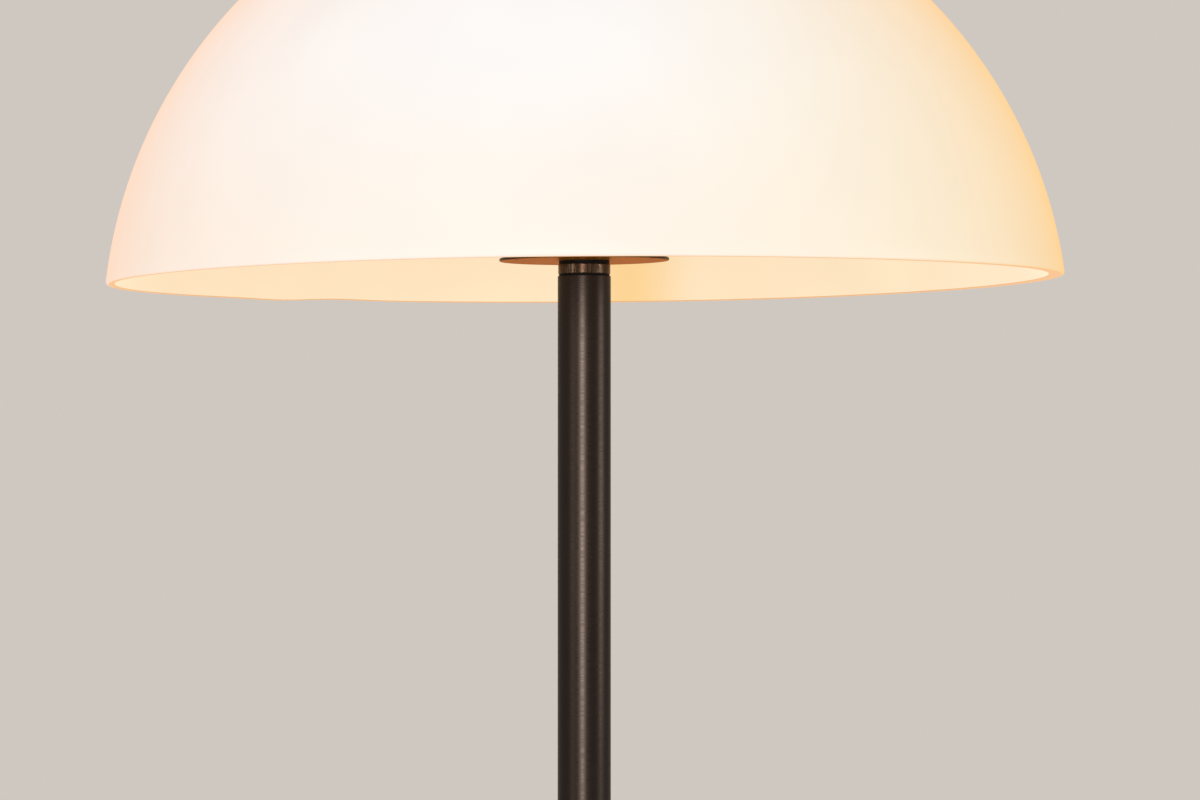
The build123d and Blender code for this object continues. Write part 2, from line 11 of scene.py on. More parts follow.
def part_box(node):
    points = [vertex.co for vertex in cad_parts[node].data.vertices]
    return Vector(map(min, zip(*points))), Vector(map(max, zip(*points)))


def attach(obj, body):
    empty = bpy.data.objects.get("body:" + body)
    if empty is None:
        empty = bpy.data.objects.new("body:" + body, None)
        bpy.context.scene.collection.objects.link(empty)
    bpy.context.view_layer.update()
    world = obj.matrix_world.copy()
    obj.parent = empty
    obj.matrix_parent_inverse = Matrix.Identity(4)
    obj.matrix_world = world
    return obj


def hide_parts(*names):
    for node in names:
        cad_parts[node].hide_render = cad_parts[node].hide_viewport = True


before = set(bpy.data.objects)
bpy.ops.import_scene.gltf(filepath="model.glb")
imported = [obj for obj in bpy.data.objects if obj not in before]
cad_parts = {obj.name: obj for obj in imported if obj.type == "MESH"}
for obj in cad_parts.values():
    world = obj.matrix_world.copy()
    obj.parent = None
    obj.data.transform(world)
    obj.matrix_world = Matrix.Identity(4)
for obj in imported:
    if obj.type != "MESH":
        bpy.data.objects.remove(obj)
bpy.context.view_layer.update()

bl_info = {
    "name": "Mushroom floor lamp",
    "version": (1, 0, 0),
    "blender": (4, 5, 0),
    "location": "3D View > Sidebar > Lamp",
    "description": "Dresses the solids of a mushroom floor lamp with its glass, threads and finishes, "
                   "and sets up a plain studio",
    "category": "Object",
}

# Blender works in metres; the lamp's sizes below are written in millimetres times MM.
MM = 0.001

# Sizes of the solids that their boxes don't give
MOUTH_RADIUS = 225 * MM        # sharp radius of the glass at its rim, before the edge is rounded
CROWN_FLAT_RADIUS = 23 * MM
CROWN_FLAT_INSIDE = 20.5 * MM
CROWN_HOLE_RADIUS = 6.5 * MM
GLASS_WALL = 5 * MM
RIM_ROUND = 1.2 * MM
LAMP_THREAD_RADIUS = 5 * MM
LAMP_THREAD_PITCH = 1 * MM
LAMP_THREAD_DEPTH = 0.6 * MM
LAMP_THREAD_BORE = 3.5 * MM
BULB_THREAD_PITCH = 3.62 * MM
BULB_THREAD_DEPTH = 0.9 * MM
BULB_INSULATOR_RADIUS = 11.5 * MM
SOCKET_FLANGE_BORE = 9 * MM
LED_BOARD_WALL = 1.6 * MM
CORE_RADIUS = 1.1 * MM

# Routes of the cores in millimetres, as in the solids, with a point near each end of the run up the stem
LIVE_ROUTE = [(-8, 39, 9.5), (-8, 27, 9.5), (-5, 17, 5.9), (-2, 0, 5.9), (-2, 0, 23), (-2, 0, 1205.7),
              (-2, 0, 1213.55), (-7, 0, 1219.55), (-7, 0, 1225.05)]
NEUTRAL_ROUTE = [(-x, y, z) for x, y, z in LIVE_ROUTE]
EARTH_ROUTE = [(0, 39, 9.5), (0, 31, 9.5), (0, 23.5, 16.3), (0, 16, 16.3)]

# How finely round pieces are cut: facets in a circle, and levels in each turn of a thread
LAMP_THREAD_SIDES, LAMP_THREAD_LEVELS = 32, 8
BULB_THREAD_SIDES, BULB_THREAD_LEVELS = 64, 12
SOCKET_THREAD_LEVELS = 10
FLOOR_SIDES = 128
SHARP_EDGE = math.radians(35)

# Looks that several finishes share
LACQUER_METALLIC = 0.6         # share of the light that the metal under the lacquer sends back
LACQUER_GLANCE = "#BDB2A6"
GLASS_IOR = 1.5
STEM_SHADOW_PLACE = 22 * MM         # how far right of the stem the painted shadow of the stem lies inside the glass
STEM_SHADOW_REACH = 38 * MM


def linear(hex_colour):
    """An sRGB hex colour as linear red, green, blue and alpha."""
    channels = [int(hex_colour[start:start + 2], 16) / 255 for start in (1, 3, 5)]
    toned = [value / 12.92 if value <= 0.04045 else ((value + 0.055) / 1.055) ** 2.4 for value in channels]
    return (*toned, 1.0)


def colour_of(setting):
    """A three-channel colour setting with full alpha, as shader sockets want it."""
    return (*setting, 1.0)


# ---- Settings ------------------------------------------------------------------------------------------

class LampGlassSettings(PropertyGroup):
    """Sizes and colours of the glass dome."""
    tilt: FloatProperty(
        name="Rim tilt", description="How far the hand-cut rim leans up to the right",
        default=math.radians(0.57), subtype="ANGLE")
    sag: FloatProperty(
        name="Sideways sag", description="How far the mouth sits to the right of the crown's axis",
        default=0.75 * MM, unit="LENGTH")
    wall_gain: FloatProperty(
        name="Wall gain", description="How much thicker the wall is at the rim than at the crown",
        default=1.0 * MM, unit="LENGTH")
    wall_lean: FloatProperty(
        name="Wall lean", description="How much thicker than average the wall is at the right of the rim",
        default=1.6 * MM, unit="LENGTH")
    ripple: FloatProperty(
        name="Blown ripple", description="Height of the slow waves that blowing leaves in the glass",
        default=0.22 * MM, unit="LENGTH")
    outside: FloatVectorProperty(
        name="Outside", description="Colour of the lit glass seen from outside",
        default=linear("#FFF5EA")[:3], subtype="COLOR", min=0, max=1)
    inside: FloatVectorProperty(
        name="Inside", description="Colour of the lit glass seen from inside",
        default=linear("#FFE6C2")[:3], subtype="COLOR", min=0, max=1)
    glow: FloatProperty(
        name="Glow", description="Strength of the light that comes through the glass",
        default=0.872, min=0)


class LampMetalSettings(PropertyGroup):
    """Colours of the lamp's metal."""
    lacquer: FloatVectorProperty(
        name="Lacquer", description="Colour of the black-bronze lacquer on tube, base, cap and disc",
        default=linear("#211A17")[:3], subtype="COLOR", min=0, max=1)
    collar: FloatVectorProperty(
        name="Collar", description="Colour of the worn collar over the tube",
        default=linear("#463629")[:3], subtype="COLOR", min=0, max=1)


class LampStudioSettings(PropertyGroup):
    """Camera, light and floor of the studio."""
    camera_distance: FloatProperty(
        name="Camera distance", description="Distance of the camera in front of the stem",
        default=2.066, unit="LENGTH")
    camera_side: FloatProperty(
        name="Camera to the right", description="How far the camera stands right of the stem",
        default=0.0074, unit="LENGTH")
    camera_below_rim: FloatProperty(
        name="Camera below the rim", description="Height of the rim over the camera",
        default=0.0995, unit="LENGTH")
    camera_pitch: FloatProperty(
        name="Camera pitch", description="How far the camera looks up",
        default=math.radians(1.2157), subtype="ANGLE")
    lens: FloatProperty(
        name="Lens", description="Focal length for a 36 mm wide picture",
        default=131.8, unit="CAMERA")
    floor: FloatVectorProperty(
        name="Floor", description="Colour of the floor and of what lies behind it",
        default=linear("#CFC8C1")[:3], subtype="COLOR", min=0, max=1)
    key_power: FloatProperty(
        name="Key light", description="Power of the main soft light left of the camera",
        default=56.0, min=0, subtype="POWER")
    side_power: FloatProperty(
        name="Side light", description="Power of the tall soft light at the right",
        default=13.0, min=0, subtype="POWER")
    left_power: FloatProperty(
        name="Left light", description="Power of the dim soft light far to the left",
        default=7.0, min=0, subtype="POWER")
    sky: FloatProperty(
        name="Fill", description="Strength of the even light from all round",
        default=0.26, min=0)


# ---- Nodes ---------------------------------------------------------------------------------------------

def per_mm(size):
    """Scale of a noise or cell pattern whose features are this many millimetres wide."""
    return 1 / (size * MM)


def add_node(tree, kind, inputs=None, **settings):
    """Adds a shader node. Inputs maps its sockets to values, or to what feeds them: another node, which then
    gives the first of its outputs that are in use, or one of its output sockets."""
    made = tree.nodes.new("ShaderNode" + kind)
    for name, value in settings.items():
        setattr(made, name, value)
    for socket, value in (inputs or {}).items():
        if isinstance(value, bpy.types.Node):
            value = next(output for output in value.outputs if output.enabled)
        if isinstance(value, bpy.types.NodeSocket):
            tree.links.new(value, made.inputs[socket])
        else:
            made.inputs[socket].default_value = value
    return made


# Input sockets of the colour mix node, which has several of one name
MIX_SHARE, MIX_FIRST, MIX_SECOND = 0, 6, 7


def start_material(name):
    """A new node material, with the function that adds its nodes and the object coordinates, in metres, that
    its patterns run on."""
    material = bpy.data.materials.new(name)
    material.use_nodes = True
    material.node_tree.nodes.clear()
    add = partial(add_node, material.node_tree)
    return material, add, add("TexCoord").outputs["Object"]


def finish_material(material, inputs, bump, tone=None, rough=None):
    """Ends a material in one Principled shader and gives it back.

    Bump is a pattern with its strength and its depth in millimetres, tone a pattern with the two colours that
    it mixes, and rough a pattern with the two roughnesses between which it runs.
    """
    add = partial(add_node, material.node_tree)
    inputs = dict(inputs)
    if tone:
        inputs["Base Color"] = add("Mix", {MIX_SHARE: tone[0], MIX_FIRST: linear(tone[1]),
                                           MIX_SECOND: linear(tone[2])}, data_type="RGBA")
    if rough:
        inputs["Roughness"] = add("MapRange", {"Value": rough[0], "To Min": rough[1], "To Max": rough[2]})
    inputs["Normal"] = add("Bump", {"Height": bump[0], "Strength": bump[1], "Distance": bump[2] * MM})
    add("OutputMaterial", {"Surface": add("BsdfPrincipled", inputs)})
    return material


# ---- Materials -----------------------------------------------------------------------------------------

def lacquered_black_bronze(name, roughness, brush, lacquer, spread=0.0):
    """Thin black-bronze lacquer over brushed metal: almost black, with one soft line of light along it."""
    material, add, where = start_material(name)
    # Brush marks run round the lamp's axis: 8 mm long and drawn 0.7 mm wide, because finer ones don't show
    stretched = add("Mapping", {"Vector": where, "Scale": (1, 1, 11)})
    brushed = add("TexNoise", {"Vector": stretched, "Scale": per_mm(8), "Detail": 4.0})
    rough = add("MapRange", {"Value": brushed, "From Min": 0.3, "From Max": 0.7, "To Min": roughness - 0.04,
                             "To Max": roughness + 0.05})
    # Slow cloudiness of a sprayed coat, about 40 mm across
    cloud = add("TexNoise", {"Vector": where, "Scale": per_mm(40), "Detail": 2.0})
    darker = tuple(channel * 0.75 for channel in lacquer[:3]) + (1.0,)
    coat = add("Mix", {MIX_SHARE: cloud, MIX_FIRST: darker, MIX_SECOND: lacquer}, data_type="RGBA")
    # Dust and tiny nicks that catch the light: cells 5 mm apart, of which only the middle 0.4 mm shows
    cells = add("TexVoronoi", {"Vector": where, "Scale": per_mm(5)})
    speck = add("MapRange", {"Value": cells, "From Min": 0.03, "From Max": 0.045, "To Min": 0.2,
                             "To Max": 0.0})
    dusty = add("Mix", {MIX_SHARE: speck, MIX_FIRST: coat, MIX_SECOND: linear("#8A7463")}, data_type="RGBA")
    # Part of the light comes back from the clear lacquer and part from the dark metal under it. Finer rubbing
    # along the piece, too fine to draw, spreads reflections round the axis and keeps them short along it.
    return finish_material(material, {"Base Color": dusty, "Metallic": LACQUER_METALLIC, "Roughness": rough,
                                      "Specular Tint": linear(LACQUER_GLANCE), "Anisotropic": spread},
                           bump=(brushed, brush, 0.05))


def disc_with_painted_glow(lacquer):
    """Spun brass, lacquered black above; below, an orange colour that is painted reflection of the glass's
    glow.
    """
    material, add, where = start_material("bronze_varnish_on_spun_brass")
    flat = add("Mapping", {"Vector": where, "Scale": (1, 1, 0)})
    reach = add("VectorMath", {0: flat}, operation="LENGTH")
    # Spinning marks run in circles, drawn 0.6 mm apart
    spun = add("TexNoise", {"W": reach, "Scale": per_mm(0.6), "Detail": 2.0}, noise_dimensions="1D")
    # Uneven tone in the painted glow below, about 12 mm across
    stains = add("TexNoise", {"Vector": where, "Scale": per_mm(12), "Detail": 3.0})
    painted_glow_below = add("Mix", {MIX_SHARE: stains, MIX_FIRST: linear("#AC7230"), MIX_SECOND: linear("#D09C4C")},
                  data_type="RGBA")
    # The black lacquer covers the top and comes round the edge, so only what faces down gets the painted glow
    normal = add("NewGeometry").outputs["Normal"]
    facing = add("SeparateXYZ", {"Vector": normal}).outputs["Z"]
    black = add("MapRange", {"Value": facing, "From Min": -0.9, "From Max": -0.6})
    tone = add("Mix", {MIX_SHARE: black, MIX_FIRST: painted_glow_below, MIX_SECOND: lacquer}, data_type="RGBA")
    # Orange glance below: painted reflection of the glass's glow on the underside
    glance_with_painted_glow = add("Mix", {MIX_SHARE: black, MIX_FIRST: linear("#FFA23C"), MIX_SECOND: linear(LACQUER_GLANCE)},
                 data_type="RGBA")
    metal = add("MapRange", {"Value": black, "To Min": 1.0, "To Max": LACQUER_METALLIC})
    return finish_material(material, {"Base Color": tone, "Metallic": metal, "Specular Tint": glance_with_painted_glow},
                           bump=(spun, 0.1, 0.03), rough=(spun, 0.28, 0.38))


def worn_collar_bronze(colour):
    """Blackened turned bronze, rubbed and nicked by the spanner: bright scratches in a brown-black skin."""
    material, add, where = start_material("blackened_turned_bronze_worn")
    # Turning marks round the collar, drawn 0.33 mm apart
    ringed = add("Mapping", {"Vector": where, "Scale": (1, 1, 30)})
    turned = add("TexNoise", {"Vector": ringed, "Scale": per_mm(10), "Detail": 3.0})
    # Upright nicks 0.5 mm wide that run the collar's whole height, gathered in patches 7 mm across
    upright = add("Mapping", {"Vector": where, "Scale": (1, 1, 0.05)})
    nicks = add("TexNoise", {"Vector": upright, "Scale": per_mm(0.5), "Detail": 4.0, "Roughness": 0.7,
                             "Distortion": 0.8})
    patches = add("TexNoise", {"Vector": upright, "Scale": per_mm(7), "Detail": 1.0})
    gathered = add("Math", {0: nicks, 1: patches}, operation="MULTIPLY")
    bare = add("MapRange", {"Value": gathered, "From Min": 0.26, "From Max": 0.44, "To Max": 0.7})
    skin = add("Mix", {MIX_SHARE: turned, MIX_FIRST: linear("#241B16"), MIX_SECOND: colour}, data_type="RGBA")
    worn = add("Mix", {MIX_SHARE: bare, MIX_FIRST: skin, MIX_SECOND: linear("#A89A8B")}, data_type="RGBA")
    height = add("Math", {0: turned, 1: nicks}, operation="ADD")
    # Turning marks run round the collar, so they spread reflections along its axis
    return finish_material(material, {"Base Color": worn, "Metallic": 0.7, "Specular Tint": linear("#E7CBB3"),
                                      "Anisotropic": 0.5, "Anisotropic Rotation": 0.25},
                           bump=(height, 0.35, 0.06), rough=(bare, 0.25, 0.2))


def pressed_black_fibre():
    """Black vulcanised fibre: dull, with short felted fibres that just break the black."""
    material, add, where = start_material("vulcanised_fibre_black")
    fibres = add("TexNoise", {"Vector": where, "Scale": per_mm(0.6), "Detail": 4.0, "Distortion": 1.5})
    return finish_material(material, {"Roughness": 0.6, "Specular IOR Level": 0.06}, bump=(fibres, 0.4, 0.05),
                           tone=(fibres, "#050404", "#110F0E"))


def zinc_plated_steel():
    """Bright zinc over turned or stamped steel: blue-grey, with cloudy crystals a few millimetres wide."""
    material, add, where = start_material("zinc_plated_steel")
    crystals = add("TexVoronoi", {"Vector": where, "Scale": per_mm(2.5)}).outputs["Color"]
    shade = add("RGBToBW", {"Color": crystals})
    fine = add("TexNoise", {"Vector": where, "Scale": per_mm(0.5), "Detail": 3.0})
    return finish_material(material, {"Metallic": 1.0}, bump=(fine, 0.2, 0.03),
                           tone=(shade, "#A3A7AC", "#C6C6C2"), rough=(shade, 0.28, 0.42))


def cast_iron_primed():
    """Sand-cast grey iron under thin grey-black primer: matt, with the sand's grain and shallow pits."""
    material, add, where = start_material("cast_iron_primed")
    sand = add("TexNoise", {"Vector": where, "Scale": per_mm(1.2), "Detail": 6.0})
    swell = add("TexNoise", {"Vector": where, "Scale": per_mm(18), "Detail": 2.0})
    height = add("Math", {0: sand, 1: swell}, operation="ADD")
    return finish_material(material, {"Roughness": 0.85}, bump=(height, 0.8, 0.4),
                           tone=(swell, "#2B2A29", "#474441"))


def powder_coated_plate():
    """Black powder coat on sheet steel: low sheen with an even orange-peel skin."""
    material, add, where = start_material("powder_coat_black_on_sheet_steel")
    peel = add("TexNoise", {"Vector": where, "Scale": per_mm(1.0), "Detail": 2.0})
    wear = add("TexNoise", {"Vector": where, "Scale": per_mm(30), "Detail": 5.0})
    return finish_material(material, {}, bump=(peel, 0.3, 0.08), tone=(wear, "#161413", "#262220"),
                           rough=(wear, 0.4, 0.6))


def moulded_plastic(name, light, dark, roughness, grain):
    """Injection-moulded plastic: even colour, a fine mould skin and faint flow clouds."""
    material, add, where = start_material(name)
    flow = add("TexNoise", {"Vector": where, "Scale": per_mm(9), "Detail": 2.0, "Distortion": 1.0})
    skin = add("TexNoise", {"Vector": where, "Scale": per_mm(0.4), "Detail": 2.0})
    return finish_material(material, {}, bump=(skin, grain, 0.04), tone=(flow, dark, light),
                           rough=(flow, roughness - 0.05, roughness + 0.06))


def moulded_rubber():
    """Moulded black rubber: matt, with dust from the floor caught on it."""
    material, add, where = start_material("nitrile_rubber_moulded")
    dust = add("TexNoise", {"Vector": where, "Scale": per_mm(3), "Detail": 8.0, "Roughness": 0.75})
    caught = add("MapRange", {"Value": dust, "From Min": 0.55, "From Max": 0.8})
    return finish_material(material, {"Roughness": 0.78, "Specular IOR Level": 0.35}, bump=(dust, 0.3, 0.08),
                           tone=(caught, "#151515", "#4A4642"))


def pressed_metal(name, bright, stained, roughness, stain_size):
    """Pressed or turned metal: bright, with handling stains and a trace of grain."""
    material, add, where = start_material(name)
    stains = add("TexNoise", {"Vector": where, "Scale": per_mm(stain_size), "Detail": 5.0, "Roughness": 0.65})
    spread = add("MapRange", {"Value": stains, "From Min": 0.4, "From Max": 0.7})
    grained = add("Mapping", {"Vector": where, "Scale": (1, 1, 0.1)})
    grain = add("TexNoise", {"Vector": grained, "Scale": per_mm(0.5), "Detail": 2.0})
    return finish_material(material, {"Metallic": 1.0}, bump=(grain, 0.15, 0.03),
                           tone=(spread, bright, stained), rough=(spread, roughness, roughness + 0.2))


def drawn_nickelled_wire():
    """Nickelled steel wire: warm silver with fine drawing lines along the rod."""
    material, add, where = start_material("nickelled_drawn_steel_wire")
    drawn = add("Mapping", {"Vector": where, "Scale": (1, 1, 0.04)})
    lines = add("TexNoise", {"Vector": drawn, "Scale": per_mm(0.4), "Detail": 3.0})
    return finish_material(material, {"Metallic": 1.0}, bump=(lines, 0.2, 0.03),
                           tone=(lines, "#A39C92", "#CFC8BC"), rough=(lines, 0.2, 0.34))


def extruded_core(name, main, stripe=None):
    """Soft extruded wire insulation: smooth and slightly glossy, in one colour or striped with a second."""
    material, add, where = start_material(name)
    stripes = add("TexWave", {"Vector": where, "Scale": per_mm(12), "Distortion": 0.0},
                  bands_direction="DIAGONAL").outputs["Fac"]
    sides = add("MapRange", {"Value": stripes, "From Min": 0.45, "From Max": 0.55})
    skin = add("TexNoise", {"Vector": where, "Scale": per_mm(1.5), "Detail": 3.0})
    return finish_material(material, {}, bump=(skin, 0.2, 0.05), tone=(sides, main, stripe or main),
                           rough=(skin, 0.3, 0.42))


def clear_silicone():
    """Moulded silicone: milky and soft, light passes a little way into it."""
    material, add, where = start_material("silicone_moulded_translucent")
    haze = add("TexNoise", {"Vector": where, "Scale": per_mm(4), "Detail": 3.0})
    return finish_material(material, {"IOR": 1.41, "Subsurface Weight": 0.4, "Subsurface Scale": 2 * MM},
                           bump=(haze, 0.2, 0.05), tone=(haze, "#D9D5CB", "#EDEAE2"), rough=(haze, 0.38, 0.5))


def glazed_porcelain():
    """Glazed electrical porcelain: creamy white under a clear wet glaze with a few specks."""
    material, add, where = start_material("porcelain_glazed")
    cells = add("TexVoronoi", {"Vector": where, "Scale": per_mm(3)})
    specks = add("MapRange", {"Value": cells, "From Min": 0.05, "From Max": 0.08, "To Min": 0.7,
                              "To Max": 0.0})
    pull = add("TexNoise", {"Vector": where, "Scale": per_mm(5), "Detail": 2.0})
    return finish_material(material, {"Roughness": 0.35, "Coat Weight": 1.0, "Coat Roughness": 0.05},
                           bump=(pull, 0.25, 0.2), tone=(specks, "#EDE8DD", "#8E7B66"))


def soldered_tip():
    """Tin solder drop: grey, slightly lumpy, part dull and part bright."""
    material, add, where = start_material("tin_solder_drop")
    lumps = add("TexNoise", {"Vector": where, "Scale": per_mm(1.6), "Detail": 4.0})
    return finish_material(material, {"Metallic": 1.0}, bump=(lumps, 0.6, 0.2),
                           tone=(lumps, "#83827F", "#B4B2AC"), rough=(lumps, 0.25, 0.6))


def led_board_finish():
    """White solder mask on aluminium, with yellow phosphor chips that stand on it and glow."""
    material, add, where = start_material("led_board_white_mask_and_phosphor")
    mask_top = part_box("led_board")[0].z + LED_BOARD_WALL
    height = add("SeparateXYZ", {"Vector": where}).outputs["Z"]
    chips = add("MapRange", {"Value": height, "From Min": mask_top + 0.1 * MM,
                             "From Max": mask_top + 0.2 * MM})
    grit = add("TexNoise", {"Vector": where, "Scale": per_mm(0.8), "Detail": 3.0})
    mask = add("Mix", {MIX_SHARE: grit, MIX_FIRST: linear("#E2DFD6"), MIX_SECOND: linear("#F2F0EA")},
               data_type="RGBA")
    tone = add("Mix", {MIX_SHARE: chips, MIX_FIRST: mask, MIX_SECOND: linear("#F0B93A")}, data_type="RGBA")
    glow = add("Mix", {MIX_SHARE: chips, MIX_FIRST: linear("#000000"), MIX_SECOND: linear("#FFD27A")},
               data_type="RGBA")
    return finish_material(material, {"Base Color": tone, "Roughness": 0.4, "Emission Color": glow,
                                      "Emission Strength": 1.0}, bump=(grit, 0.15, 0.04))


def lit_opal_plastic():
    """Opal polycarbonate over the LEDs: an even warm glow, a little deeper towards the foot of the globe."""
    material, add, where = start_material("opal_polycarbonate_lit")
    low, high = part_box("bulb_globe")
    height = add("SeparateXYZ", {"Vector": where}).outputs["Z"]
    share = add("MapRange", {"Value": height, "From Min": low.z, "From Max": high.z})
    cloud = add("TexNoise", {"Vector": where, "Scale": per_mm(12), "Detail": 2.0})
    mottled = add("Math", {0: cloud, 1: share}, operation="MULTIPLY")
    glow = add("Mix", {MIX_SHARE: mottled, MIX_FIRST: linear("#FFD9A6"), MIX_SECOND: linear("#FFF2DC")},
               data_type="RGBA")
    return finish_material(material, {"Base Color": linear("#8C857A"), "Roughness": 0.35, "IOR": 1.58,
                                      "Emission Color": glow, "Emission Strength": 0.85},
                           bump=(cloud, 0.05, 0.1))


def clouded_glow(add, where, tone, cloud_size, dimmest, body):
    """The glow of opal glass, dimmed here and there by clouds in its white layer, and the body colour that it
    leaves for light from outside, with the clouds' pattern."""
    cloud = add("TexNoise", {"Vector": where, "Scale": per_mm(cloud_size), "Detail": 2.0})
    dimmed = add("MapRange", {"Value": cloud, "From Min": 0.3, "From Max": 0.7, "To Min": dimmest,
                              "To Max": 1.0})
    glow = add("VectorMath", {0: tone, 1: dimmed}, operation="MULTIPLY")
    colour = add("VectorMath", {0: glow, 1: (body, body, body)}, operation="MULTIPLY")
    return glow, colour, cloud


def opal_glass_outside(glass):
    """Mouth-blown opal glass, etched to a satin outside: a white glow that turns warmer where light crosses
    more of the wall, so peach towards the outline, with painted key light that leaves the left whiter and the
    right yellower."""
    material, add, where = start_material("opal_glass_blown_etched_outside")
    low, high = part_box("glass_shade")
    place = add("SeparateXYZ", {"Vector": where})
    # The bulb's globe stands over half-way up the dome, so the glass is whitest from 0.6 of its height up
    upward = add("MapRange", {"Value": place.outputs["Z"], "From Min": low.z,
                              "From Max": low.z + 0.6 * (high.z - low.z)}, interpolation_type="SMOOTHSTEP")
    white = add("Mix", {MIX_SHARE: upward, MIX_FIRST: colour_of(glass.outside),
                        MIX_SECOND: linear("#FFFFFF")}, data_type="RGBA")
    # Painted light: whiter at the left, where the key light falls, and yellower towards the right, where it
    # falls less; the same share turns the outline from peach at the left to yellow at the right
    painted_key_light_fade = add("MapRange", {"Value": place.outputs["X"], "From Min": -0.1 * MOUTH_RADIUS,
                             "From Max": 1.05 * MOUTH_RADIUS}, interpolation_type="SMOOTHSTEP")
    face_on = add("Mix", {MIX_SHARE: painted_key_light_fade, MIX_FIRST: white, MIX_SECOND: linear("#FFF2D6")},
                  data_type="RGBA")
    glancing = add("Mix", {MIX_SHARE: painted_key_light_fade, MIX_FIRST: linear("#FFD6B8"), MIX_SECOND: linear("#FFCB78")},
                   data_type="RGBA")
    slant = add("LayerWeight", {"Blend": 0.5}).outputs["Facing"]
    path = add("Math", {0: slant, 1: 2.0}, operation="POWER")
    tone = add("Mix", {MIX_SHARE: path, MIX_FIRST: face_on, MIX_SECOND: glancing}, data_type="RGBA")
    # Faint clouds in the opal layer, about 60 mm across
    glow, body, _ = clouded_glow(add, where, tone, 60, 0.975, 0.09)
    # Etched grain, drawn 0.8 mm wide so that it shows
    etched = add("TexNoise", {"Vector": where, "Scale": per_mm(0.8), "Detail": 2.0})
    return finish_material(material, {"Base Color": body, "IOR": GLASS_IOR, "Specular IOR Level": 0.12,
                                      "Emission Color": glow, "Emission Strength": glass.glow},
                           bump=(etched, 0.06, 0.05), rough=(etched, 0.42, 0.5))


def opal_glass_inside(glass):
    """The fire-polished inside of the opal glass: smoother, and warm cream because light crosses it often."""
    material, add, where = start_material("opal_glass_fire_polished_inside")
    right = add("SeparateXYZ", {"Vector": where}).outputs["X"]
    # Painted light: the inside turns lighter and paler towards the right, where the key light falls on it
    painted_light_right = add("MapRange", {"Value": right, "From Min": 0.3 * MOUTH_RADIUS, "From Max": MOUTH_RADIUS})
    even = add("Mix", {MIX_SHARE: painted_light_right, MIX_FIRST: colour_of(glass.inside), MIX_SECOND: linear("#FFEACA")},
               data_type="RGBA")
    # Painted shadow of the stem on the inside of the glass, behind the stem and a little to its right: deeper
    # yellow there
    offset = add("Math", {0: right, 1: -STEM_SHADOW_PLACE}, operation="ADD")
    distance = add("Math", {0: offset}, operation="ABSOLUTE")
    painted_stem_shadow = add("MapRange", {"Value": distance, "From Min": 0.0, "From Max": STEM_SHADOW_REACH, "To Min": 0.8,
                            "To Max": 0.0}, interpolation_type="SMOOTHSTEP")
    tone = add("Mix", {MIX_SHARE: painted_stem_shadow, MIX_FIRST: even, MIX_SECOND: linear("#FFD48C")}, data_type="RGBA")
    glow, body, cloud = clouded_glow(add, where, tone, 70, 0.95, 0.15)
    return finish_material(material, {"Base Color": body, "Roughness": 0.4, "IOR": GLASS_IOR,
                                      "Specular IOR Level": 0.08, "Emission Color": glow,
                                      "Emission Strength": glass.glow}, bump=(cloud, 0.1, 0.4))


def opal_glass_rim(glass):
    """The ground and flamed rim: orange, because light runs through the wall's whole height to reach it."""
    material, add, where = start_material("opal_glass_ground_rim")
    grind = add("TexNoise", {"Vector": where, "Scale": per_mm(1.2), "Detail": 4.0})
    tone = add("Mix", {MIX_SHARE: grind, MIX_FIRST: linear("#ECA65E"), MIX_SECOND: linear("#FAC488")},
               data_type="RGBA")
    return finish_material(material, {"Base Color": linear("#5C4630"), "Roughness": 0.35, "IOR": GLASS_IOR,
                                      "Specular IOR Level": 0.2, "Emission Color": tone,
                                      "Emission Strength": 0.95 * glass.glow}, bump=(grind, 0.15, 0.05))


# ---- Meshes --------------------------------------------------------------------------------------------

def new_piece(name, rows, closed, node, materials, row_materials=None, body="root"):
    """A piece from rows of points, joined row to row and round each row, which stands for a solid."""
    building = bmesh.new()
    made = [[building.verts.new(point) for point in row] for row in rows]
    pairs = list(zip(made, made[1:] + made[:1])) if closed else list(zip(made, made[1:]))
    for index, (first, second) in enumerate(pairs):
        steps = max(len(first), len(second))
        for step in range(steps):
            after = (step + 1) % steps
            # A row of one point gives the same corner twice, which makes a triangle
            corners = [first[step % len(first)], first[after % len(first)],
                       second[after % len(second)], second[step % len(second)]]
            face = building.faces.new(list(dict.fromkeys(corners)))
            face.smooth = True
            face.material_index = row_materials[index] if row_materials else 0
    bmesh.ops.recalc_face_normals(building, faces=building.faces)
    mesh = bpy.data.meshes.new(name)
    building.to_mesh(mesh)
    building.free()
    mesh.set_sharp_from_angle(angle=SHARP_EDGE)
    for material in materials:
        mesh.materials.append(material)
    piece = bpy.data.objects.new(name, mesh)
    bpy.context.scene.collection.objects.link(piece)
    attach(piece, body)
    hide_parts(node)
    return piece


def round_row(radius, height, steps, wave=None):
    """Points round the lamp's axis at one height; wave changes the radius by direction."""
    row = []
    for step in range(steps):
        direction = 2 * math.pi * step / steps
        reach = radius + (wave(direction) if wave else 0)
        row.append((reach * math.cos(direction), reach * math.sin(direction), height))
    return row


def thread_rows(radius, depth, pitch, low, high, steps, per_turn):
    """Rows of a right-hand screw thread from low to high, cut down to nothing at both ends."""
    rows = []
    count = round((high - low) / pitch * per_turn)
    for level in range(count + 1):
        height = low + (high - low) * level / count
        fade = min(1, (height - low) / pitch, (high - height) / pitch)

        def wave(direction):
            turn = (height / pitch - direction / (2 * math.pi)) % 1
            return -depth * (1 - fade * (0.5 + 0.5 * math.cos(2 * math.pi * turn)))

        rows.append(round_row(radius, height, steps, wave))
    return rows


